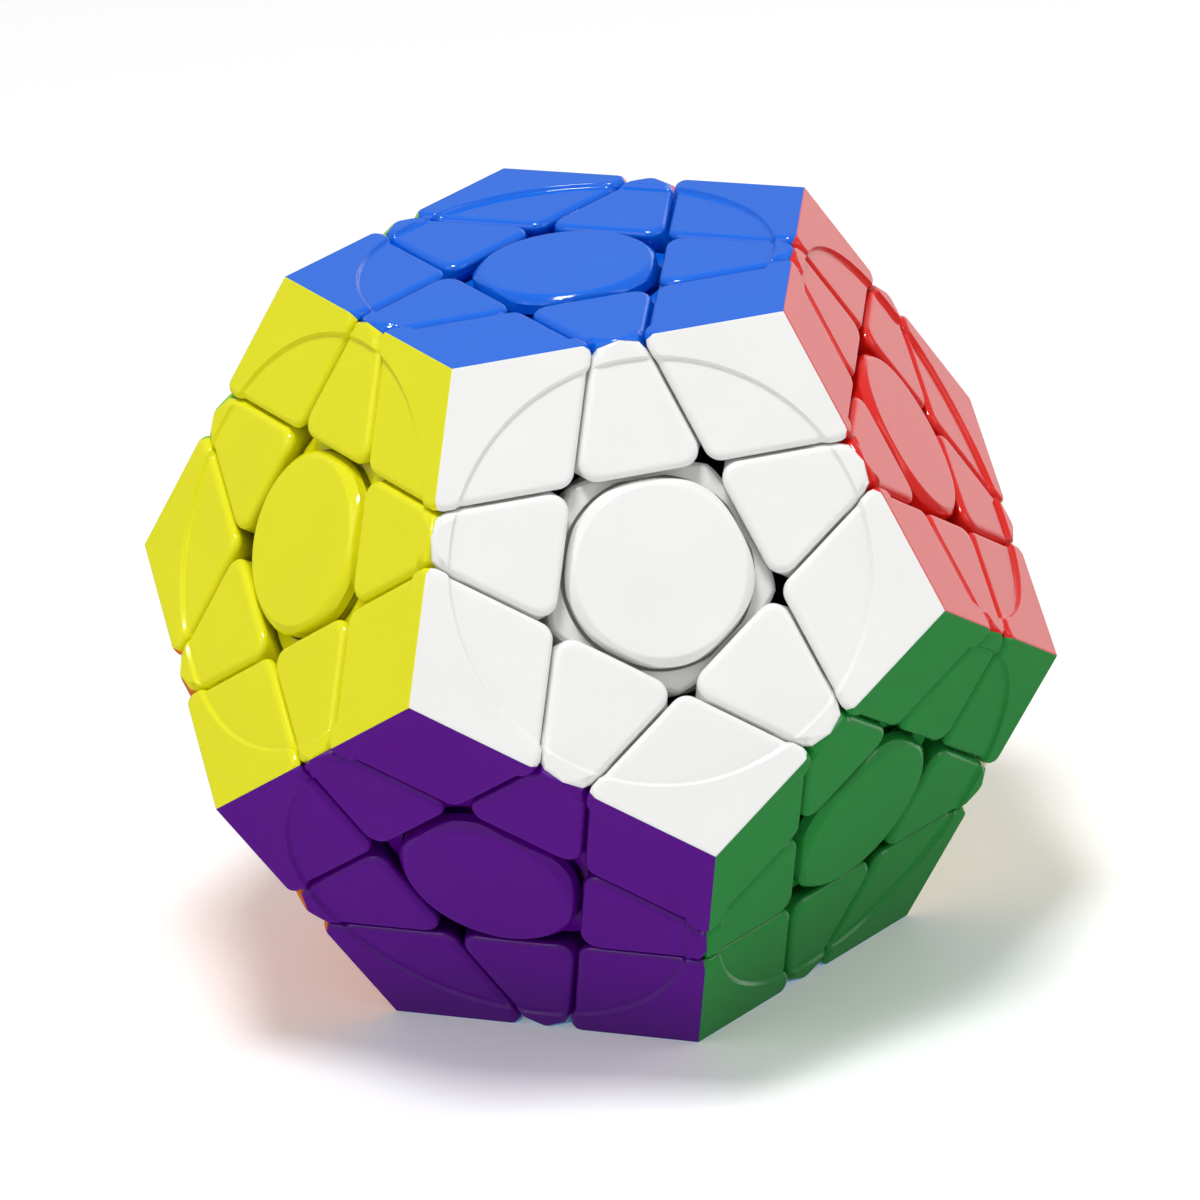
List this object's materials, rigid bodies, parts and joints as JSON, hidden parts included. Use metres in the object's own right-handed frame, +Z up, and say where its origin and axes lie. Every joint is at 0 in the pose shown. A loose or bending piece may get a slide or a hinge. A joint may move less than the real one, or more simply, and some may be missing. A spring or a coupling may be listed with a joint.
{
  "type": "dodecahedron twisty puzzle",
  "caption": "Dodecahedral twisty puzzle in moulded coloured plastic, with sprung faces that turn in fifths of a turn about a central core.",
  "frame": {"origin": "middle of the resting face, on the surface the puzzle stands on", "axes": "+Z up through the opposite face, -Y the way the white face looks, +X to its right"},
  "size_m": [0.0878, 0.0922, 0.0746],
  "materials": {
    "blue_plastic": "glossy moulded",
    "white_plastic": "glossy moulded",
    "red_plastic": "glossy moulded",
    "pink_plastic": "glossy moulded",
    "light_green_plastic": "glossy moulded",
    "yellow_plastic": "glossy moulded",
    "green_plastic": "glossy moulded",
    "pale_yellow_plastic": "glossy moulded",
    "grey_plastic": "glossy moulded",
    "orange_plastic": "glossy moulded",
    "purple_plastic": "glossy moulded",
    "light_blue_plastic": "glossy moulded",
    "core_plastic": "fine matt moulded",
    "zinc_steel": "zinc plated"
  },
  "bodies": {
    "core": {"core": "core_plastic", "tension_screws": "zinc_steel", "springs_and_washers": "zinc_steel", "centre_light_blue": "light_blue_plastic"},
    "centre_blue": {"centre_blue": "blue_plastic"},
    "centre_white": {"centre_white": "white_plastic"},
    "centre_red": {"centre_red": "red_plastic"},
    "centre_pink": {"centre_pink": "pink_plastic"},
    "centre_light_green": {"centre_light_green": "light_green_plastic"},
    "centre_yellow": {"centre_yellow": "yellow_plastic"},
    "centre_green": {"centre_green": "green_plastic", "edge_green_light_blue": "green_plastic"},
    "centre_pale_yellow": {"centre_pale_yellow": "pale_yellow_plastic", "edge_pale_yellow_light_blue": "pale_yellow_plastic"},
    "centre_grey": {"centre_grey": "grey_plastic", "edge_grey_light_blue": "grey_plastic"},
    "centre_orange": {"centre_orange": "orange_plastic", "edge_orange_light_blue": "orange_plastic"},
    "centre_purple": {"centre_purple": "purple_plastic", "edge_purple_light_blue": "purple_plastic"},
    "edge_blue_white": {"edge_blue_white": "blue_plastic"},
    "edge_blue_red": {"edge_blue_red": "blue_plastic"},
    "edge_blue_pink": {"edge_blue_pink": "blue_plastic"},
    "edge_blue_light_green": {"edge_blue_light_green": "blue_plastic"},
    "edge_blue_yellow": {"edge_blue_yellow": "blue_plastic"},
    "edge_white_red": {"edge_white_red": "white_plastic"},
    "edge_white_yellow": {"edge_white_yellow": "white_plastic"},
    "edge_white_green": {"edge_white_green": "white_plastic"},
    "edge_white_purple": {"edge_white_purple": "white_plastic"},
    "edge_red_pink": {"edge_red_pink": "red_plastic"},
    "edge_red_green": {"edge_red_green": "red_plastic"},
    "edge_red_pale_yellow": {"edge_red_pale_yellow": "red_plastic"},
    "edge_pink_light_green": {"edge_pink_light_green": "pink_plastic"},
    "edge_pink_pale_yellow": {"edge_pink_pale_yellow": "pink_plastic"},
    "edge_pink_grey": {"edge_pink_grey": "pink_plastic"},
    "edge_light_green_yellow": {"edge_light_green_yellow": "light_green_plastic"},
    "edge_light_green_grey": {"edge_light_green_grey": "light_green_plastic"},
    "edge_light_green_orange": {"edge_light_green_orange": "light_green_plastic"},
    "edge_yellow_orange": {"edge_yellow_orange": "yellow_plastic"},
    "edge_yellow_purple": {"edge_yellow_purple": "yellow_plastic"},
    "edge_green_pale_yellow": {"edge_green_pale_yellow_with_corner": "green_plastic"},
    "edge_green_purple": {"edge_green_purple_with_corner": "green_plastic"},
    "edge_pale_yellow_grey": {"edge_pale_yellow_grey_with_corner": "pale_yellow_plastic"},
    "edge_grey_orange": {"edge_grey_orange_with_corner": "grey_plastic"},
    "edge_orange_purple": {"edge_orange_purple_with_corner": "orange_plastic"},
    "corner_blue_white_red": {"corner_blue_white_red": "blue_plastic"},
    "corner_blue_white_yellow": {"corner_blue_white_yellow": "blue_plastic"},
    "corner_blue_red_pink": {"corner_blue_red_pink": "blue_plastic"},
    "corner_blue_pink_light_green": {"corner_blue_pink_light_green": "blue_plastic"},
    "corner_blue_light_green_yellow": {"corner_blue_light_green_yellow": "blue_plastic"},
    "corner_white_red_green": {"corner_white_red_green": "white_plastic"},
    "corner_white_yellow_purple": {"corner_white_yellow_purple": "white_plastic"},
    "corner_white_green_purple": {"corner_white_green_purple": "white_plastic"},
    "corner_red_pink_pale_yellow": {"corner_red_pink_pale_yellow": "red_plastic"},
    "corner_red_green_pale_yellow": {"corner_red_green_pale_yellow": "red_plastic"},
    "corner_pink_light_green_grey": {"corner_pink_light_green_grey": "pink_plastic"},
    "corner_pink_pale_yellow_grey": {"corner_pink_pale_yellow_grey": "pink_plastic"},
    "corner_light_green_yellow_orange": {"corner_light_green_yellow_orange": "light_green_plastic"},
    "corner_light_green_grey_orange": {"corner_light_green_grey_orange": "light_green_plastic"},
    "corner_yellow_orange_purple": {"corner_yellow_orange_purple": "yellow_plastic"}
  },
  "joints": [
    {"name": "blue_face_turn", "type": "hinge", "parent": "core", "child": "centre_blue", "pos_m": [0, 0, 0.0373], "axis": [0, 0, 1], "range_deg": [-504, 432]},
    {"name": "white_face_turn", "type": "hinge", "parent": "core", "child": "centre_white", "pos_m": [0, 0, 0.0373], "axis": [0, -0.8944, 0.4472], "range_deg": [-504, 432]},
    {"name": "red_face_turn", "type": "hinge", "parent": "core", "child": "centre_red", "pos_m": [0, 0, 0.0373], "axis": [0.8507, -0.2764, 0.4472], "range_deg": [-504, 432]},
    {"name": "pink_face_turn", "type": "hinge", "parent": "core", "child": "centre_pink", "pos_m": [0, 0, 0.0373], "axis": [0.5257, 0.7236, 0.4472], "range_deg": [-504, 432]},
    {"name": "light_green_face_turn", "type": "hinge", "parent": "core", "child": "centre_light_green", "pos_m": [0, 0, 0.0373], "axis": [-0.5257, 0.7236, 0.4472], "range_deg": [-504, 432]},
    {"name": "yellow_face_turn", "type": "hinge", "parent": "core", "child": "centre_yellow", "pos_m": [0, 0, 0.0373], "axis": [-0.8507, -0.2764, 0.4472], "range_deg": [-504, 432]},
    {"name": "green_face_turn", "type": "hinge", "parent": "core", "child": "centre_green", "pos_m": [0, 0, 0.0373], "axis": [0.5257, -0.7236, -0.4472], "range_deg": [-504, 432]},
    {"name": "pale_yellow_face_turn", "type": "hinge", "parent": "core", "child": "centre_pale_yellow", "pos_m": [0, 0, 0.0373], "axis": [0.8507, 0.2764, -0.4472], "range_deg": [-504, 432]},
    {"name": "grey_face_turn", "type": "hinge", "parent": "core", "child": "centre_grey", "pos_m": [0, 0, 0.0373], "axis": [0, 0.8944, -0.4472], "range_deg": [-504, 432]},
    {"name": "orange_face_turn", "type": "hinge", "parent": "core", "child": "centre_orange", "pos_m": [0, 0, 0.0373], "axis": [-0.8507, 0.2764, -0.4472], "range_deg": [-504, 432]},
    {"name": "purple_face_turn", "type": "hinge", "parent": "core", "child": "centre_purple", "pos_m": [0, 0, 0.0373], "axis": [-0.5257, -0.7236, -0.4472], "range_deg": [-504, 432]},
    {"name": "edge_blue_white_turn", "type": "hinge", "parent": "centre_white", "child": "edge_blue_white", "pos_m": [0, 0, 0.0373], "axis": [0, 0, 1], "range_deg": [-504, 432]},
    {"name": "edge_blue_red_turn", "type": "hinge", "parent": "centre_red", "child": "edge_blue_red", "pos_m": [0, 0, 0.0373], "axis": [0, 0, 1], "range_deg": [-504, 432]},
    {"name": "edge_blue_pink_turn", "type": "hinge", "parent": "centre_pink", "child": "edge_blue_pink", "pos_m": [0, 0, 0.0373], "axis": [0, 0, 1], "range_deg": [-504, 432]},
    {"name": "edge_blue_light_green_turn", "type": "hinge", "parent": "centre_light_green", "child": "edge_blue_light_green", "pos_m": [0, 0, 0.0373], "axis": [0, 0, 1], "range_deg": [-504, 432]},
    {"name": "edge_blue_yellow_turn", "type": "hinge", "parent": "centre_yellow", "child": "edge_blue_yellow", "pos_m": [0, 0, 0.0373], "axis": [0, 0, 1], "range_deg": [-504, 432]},
    {"name": "edge_white_red_turn", "type": "hinge", "parent": "centre_red", "child": "edge_white_red", "pos_m": [0, 0, 0.0373], "axis": [0, -0.8944, 0.4472], "range_deg": [-504, 432]},
    {"name": "edge_white_yellow_turn", "type": "hinge", "parent": "centre_white", "child": "edge_white_yellow", "pos_m": [0, 0, 0.0373], "axis": [-0.8507, -0.2764, 0.4472], "range_deg": [-504, 432]},
    {"name": "edge_white_green_turn", "type": "hinge", "parent": "centre_white", "child": "edge_white_green", "pos_m": [0, 0, 0.0373], "axis": [0.5257, -0.7236, -0.4472], "range_deg": [-504, 432]},
    {"name": "edge_white_purple_turn", "type": "hinge", "parent": "centre_purple", "child": "edge_white_purple", "pos_m": [0, 0, 0.0373], "axis": [0, -0.8944, 0.4472], "range_deg": [-504, 432]},
    {"name": "edge_red_pink_turn", "type": "hinge", "parent": "centre_pink", "child": "edge_red_pink", "pos_m": [0, 0, 0.0373], "axis": [0.8507, -0.2764, 0.4472], "range_deg": [-504, 432]},
    {"name": "edge_red_green_turn", "type": "hinge", "parent": "centre_green", "child": "edge_red_green", "pos_m": [0, 0, 0.0373], "axis": [0.8507, -0.2764, 0.4472], "range_deg": [-504, 432]},
    {"name": "edge_red_pale_yellow_turn", "type": "hinge", "parent": "centre_red", "child": "edge_red_pale_yellow", "pos_m": [0, 0, 0.0373], "axis": [0.8507, 0.2764, -0.4472], "range_deg": [-504, 432]},
    {"name": "edge_pink_light_green_turn", "type": "hinge", "parent": "centre_light_green", "child": "edge_pink_light_green", "pos_m": [0, 0, 0.0373], "axis": [0.5257, 0.7236, 0.4472], "range_deg": [-504, 432]},
    {"name": "edge_pink_pale_yellow_turn", "type": "hinge", "parent": "centre_pale_yellow", "child": "edge_pink_pale_yellow", "pos_m": [0, 0, 0.0373], "axis": [0.5257, 0.7236, 0.4472], "range_deg": [-504, 432]},
    {"name": "edge_pink_grey_turn", "type": "hinge", "parent": "centre_pink", "child": "edge_pink_grey", "pos_m": [0, 0, 0.0373], "axis": [0, 0.8944, -0.4472], "range_deg": [-504, 432]},
    {"name": "edge_light_green_yellow_turn", "type": "hinge", "parent": "centre_yellow", "child": "edge_light_green_yellow", "pos_m": [0, 0, 0.0373], "axis": [-0.5257, 0.7236, 0.4472], "range_deg": [-504, 432]},
    {"name": "edge_light_green_grey_turn", "type": "hinge", "parent": "centre_grey", "child": "edge_light_green_grey", "pos_m": [0, 0, 0.0373], "axis": [-0.5257, 0.7236, 0.4472], "range_deg": [-504, 432]},
    {"name": "edge_light_green_orange_turn", "type": "hinge", "parent": "centre_light_green", "child": "edge_light_green_orange", "pos_m": [0, 0, 0.0373], "axis": [-0.8507, 0.2764, -0.4472], "range_deg": [-504, 432]},
    {"name": "edge_yellow_orange_turn", "type": "hinge", "parent": "centre_orange", "child": "edge_yellow_orange", "pos_m": [0, 0, 0.0373], "axis": [-0.8507, -0.2764, 0.4472], "range_deg": [-504, 432]},
    {"name": "edge_yellow_purple_turn", "type": "hinge", "parent": "centre_yellow", "child": "edge_yellow_purple", "pos_m": [0, 0, 0.0373], "axis": [-0.5257, -0.7236, -0.4472], "range_deg": [-504, 432]},
    {"name": "edge_green_pale_yellow_turn", "type": "hinge", "parent": "centre_pale_yellow", "child": "edge_green_pale_yellow", "pos_m": [0, 0, 0.0373], "axis": [0.5257, -0.7236, -0.4472], "range_deg": [-504, 432]},
    {"name": "edge_green_purple_turn", "type": "hinge", "parent": "centre_green", "child": "edge_green_purple", "pos_m": [0, 0, 0.0373], "axis": [-0.5257, -0.7236, -0.4472], "range_deg": [-504, 432]},
    {"name": "edge_pale_yellow_grey_turn", "type": "hinge", "parent": "centre_grey", "child": "edge_pale_yellow_grey", "pos_m": [0, 0, 0.0373], "axis": [0.8507, 0.2764, -0.4472], "range_deg": [-504, 432]},
    {"name": "edge_grey_orange_turn", "type": "hinge", "parent": "centre_orange", "child": "edge_grey_orange", "pos_m": [0, 0, 0.0373], "axis": [0, 0.8944, -0.4472], "range_deg": [-504, 432]},
    {"name": "edge_orange_purple_turn", "type": "hinge", "parent": "centre_purple", "child": "edge_orange_purple", "pos_m": [0, 0, 0.0373], "axis": [-0.8507, 0.2764, -0.4472], "range_deg": [-504, 432]},
    {"name": "corner_blue_white_red_turn", "type": "hinge", "parent": "edge_blue_red", "child": "corner_blue_white_red", "pos_m": [0, 0, 0.0373], "axis": [0, -0.8944, 0.4472], "range_deg": [-504, 432]},
    {"name": "corner_blue_white_yellow_turn", "type": "hinge", "parent": "edge_blue_white", "child": "corner_blue_white_yellow", "pos_m": [0, 0, 0.0373], "axis": [-0.8507, -0.2764, 0.4472], "range_deg": [-504, 432]},
    {"name": "corner_blue_red_pink_turn", "type": "hinge", "parent": "edge_blue_pink", "child": "corner_blue_red_pink", "pos_m": [0, 0, 0.0373], "axis": [0.8507, -0.2764, 0.4472], "range_deg": [-504, 432]},
    {"name": "corner_blue_pink_light_green_turn", "type": "hinge", "parent": "edge_blue_light_green", "child": "corner_blue_pink_light_green", "pos_m": [0, 0, 0.0373], "axis": [0.5257, 0.7236, 0.4472], "range_deg": [-504, 432]},
    {"name": "corner_blue_light_green_yellow_turn", "type": "hinge", "parent": "edge_blue_yellow", "child": "corner_blue_light_green_yellow", "pos_m": [0, 0, 0.0373], "axis": [-0.5257, 0.7236, 0.4472], "range_deg": [-504, 432]},
    {"name": "corner_white_red_green_turn", "type": "hinge", "parent": "edge_white_green", "child": "corner_white_red_green", "pos_m": [0, 0, 0.0373], "axis": [0.8507, -0.2764, 0.4472], "range_deg": [-504, 432]},
    {"name": "corner_white_yellow_purple_turn", "type": "hinge", "parent": "edge_yellow_purple", "child": "corner_white_yellow_purple", "pos_m": [0, 0, 0.0373], "axis": [0, -0.8944, 0.4472], "range_deg": [-504, 432]},
    {"name": "corner_white_green_purple_turn", "type": "hinge", "parent": "edge_green_purple", "child": "corner_white_green_purple", "pos_m": [0, 0, 0.0373], "axis": [0, -0.8944, 0.4472], "range_deg": [-504, 432]},
    {"name": "corner_red_pink_pale_yellow_turn", "type": "hinge", "parent": "edge_red_pale_yellow", "child": "corner_red_pink_pale_yellow", "pos_m": [0, 0, 0.0373], "axis": [0.5257, 0.7236, 0.4472], "range_deg": [-504, 432]},
    {"name": "corner_red_green_pale_yellow_turn", "type": "hinge", "parent": "edge_green_pale_yellow", "child": "corner_red_green_pale_yellow", "pos_m": [0, 0, 0.0373], "axis": [0.8507, -0.2764, 0.4472], "range_deg": [-504, 432]},
    {"name": "corner_pink_light_green_grey_turn", "type": "hinge", "parent": "edge_pink_grey", "child": "corner_pink_light_green_grey", "pos_m": [0, 0, 0.0373], "axis": [-0.5257, 0.7236, 0.4472], "range_deg": [-504, 432]},
    {"name": "corner_pink_pale_yellow_grey_turn", "type": "hinge", "parent": "edge_pale_yellow_grey", "child": "corner_pink_pale_yellow_grey", "pos_m": [0, 0, 0.0373], "axis": [0.5257, 0.7236, 0.4472], "range_deg": [-504, 432]},
    {"name": "corner_light_green_yellow_orange_turn", "type": "hinge", "parent": "edge_light_green_orange", "child": "corner_light_green_yellow_orange", "pos_m": [0, 0, 0.0373], "axis": [-0.8507, -0.2764, 0.4472], "range_deg": [-504, 432]},
    {"name": "corner_light_green_grey_orange_turn", "type": "hinge", "parent": "edge_grey_orange", "child": "corner_light_green_grey_orange", "pos_m": [0, 0, 0.0373], "axis": [-0.5257, 0.7236, 0.4472], "range_deg": [-504, 432]},
    {"name": "corner_yellow_orange_purple_turn", "type": "hinge", "parent": "edge_orange_purple", "child": "corner_yellow_orange_purple", "pos_m": [0, 0, 0.0373], "axis": [-0.8507, -0.2764, 0.4472], "range_deg": [-504, 432]}
  ],
  "couplings": [
    {"joint": "edge_blue_white_turn", "follows": "blue_face_turn", "ratio": 1},
    {"joint": "edge_blue_red_turn", "follows": "blue_face_turn", "ratio": 1},
    {"joint": "edge_blue_pink_turn", "follows": "blue_face_turn", "ratio": 1},
    {"joint": "edge_blue_light_green_turn", "follows": "blue_face_turn", "ratio": 1},
    {"joint": "edge_blue_yellow_turn", "follows": "blue_face_turn", "ratio": 1},
    {"joint": "edge_white_red_turn", "follows": "white_face_turn", "ratio": 1},
    {"joint": "edge_white_yellow_turn", "follows": "yellow_face_turn", "ratio": 1},
    {"joint": "edge_white_green_turn", "follows": "green_face_turn", "ratio": 1},
    {"joint": "edge_white_purple_turn", "follows": "white_face_turn", "ratio": 1},
    {"joint": "edge_red_pink_turn", "follows": "red_face_turn", "ratio": 1},
    {"joint": "edge_red_green_turn", "follows": "red_face_turn", "ratio": 1},
    {"joint": "edge_red_pale_yellow_turn", "follows": "pale_yellow_face_turn", "ratio": 1},
    {"joint": "edge_pink_light_green_turn", "follows": "pink_face_turn", "ratio": 1},
    {"joint": "edge_pink_pale_yellow_turn", "follows": "pink_face_turn", "ratio": 1},
    {"joint": "edge_pink_grey_turn", "follows": "grey_face_turn", "ratio": 1},
    {"joint": "edge_light_green_yellow_turn", "follows": "light_green_face_turn", "ratio": 1},
    {"joint": "edge_light_green_grey_turn", "follows": "light_green_face_turn", "ratio": 1},
    {"joint": "edge_light_green_orange_turn", "follows": "orange_face_turn", "ratio": 1},
    {"joint": "edge_yellow_orange_turn", "follows": "yellow_face_turn", "ratio": 1},
    {"joint": "edge_yellow_purple_turn", "follows": "purple_face_turn", "ratio": 1},
    {"joint": "edge_green_pale_yellow_turn", "follows": "green_face_turn", "ratio": 1},
    {"joint": "edge_green_purple_turn", "follows": "purple_face_turn", "ratio": 1},
    {"joint": "edge_pale_yellow_grey_turn", "follows": "pale_yellow_face_turn", "ratio": 1},
    {"joint": "edge_grey_orange_turn", "follows": "grey_face_turn", "ratio": 1},
    {"joint": "edge_orange_purple_turn", "follows": "orange_face_turn", "ratio": 1},
    {"joint": "corner_blue_white_red_turn", "follows": "white_face_turn", "ratio": 1},
    {"joint": "corner_blue_white_yellow_turn", "follows": "yellow_face_turn", "ratio": 1},
    {"joint": "corner_blue_red_pink_turn", "follows": "red_face_turn", "ratio": 1},
    {"joint": "corner_blue_pink_light_green_turn", "follows": "pink_face_turn", "ratio": 1},
    {"joint": "corner_blue_light_green_yellow_turn", "follows": "light_green_face_turn", "ratio": 1},
    {"joint": "corner_white_red_green_turn", "follows": "red_face_turn", "ratio": 1},
    {"joint": "corner_white_yellow_purple_turn", "follows": "white_face_turn", "ratio": 1},
    {"joint": "corner_white_green_purple_turn", "follows": "white_face_turn", "ratio": 1},
    {"joint": "corner_red_pink_pale_yellow_turn", "follows": "pink_face_turn", "ratio": 1},
    {"joint": "corner_red_green_pale_yellow_turn", "follows": "red_face_turn", "ratio": 1},
    {"joint": "corner_pink_light_green_grey_turn", "follows": "light_green_face_turn", "ratio": 1},
    {"joint": "corner_pink_pale_yellow_grey_turn", "follows": "pink_face_turn", "ratio": 1},
    {"joint": "corner_light_green_yellow_orange_turn", "follows": "yellow_face_turn", "ratio": 1},
    {"joint": "corner_light_green_grey_orange_turn", "follows": "light_green_face_turn", "ratio": 1},
    {"joint": "corner_yellow_orange_purple_turn", "follows": "yellow_face_turn", "ratio": 1}
  ]
}
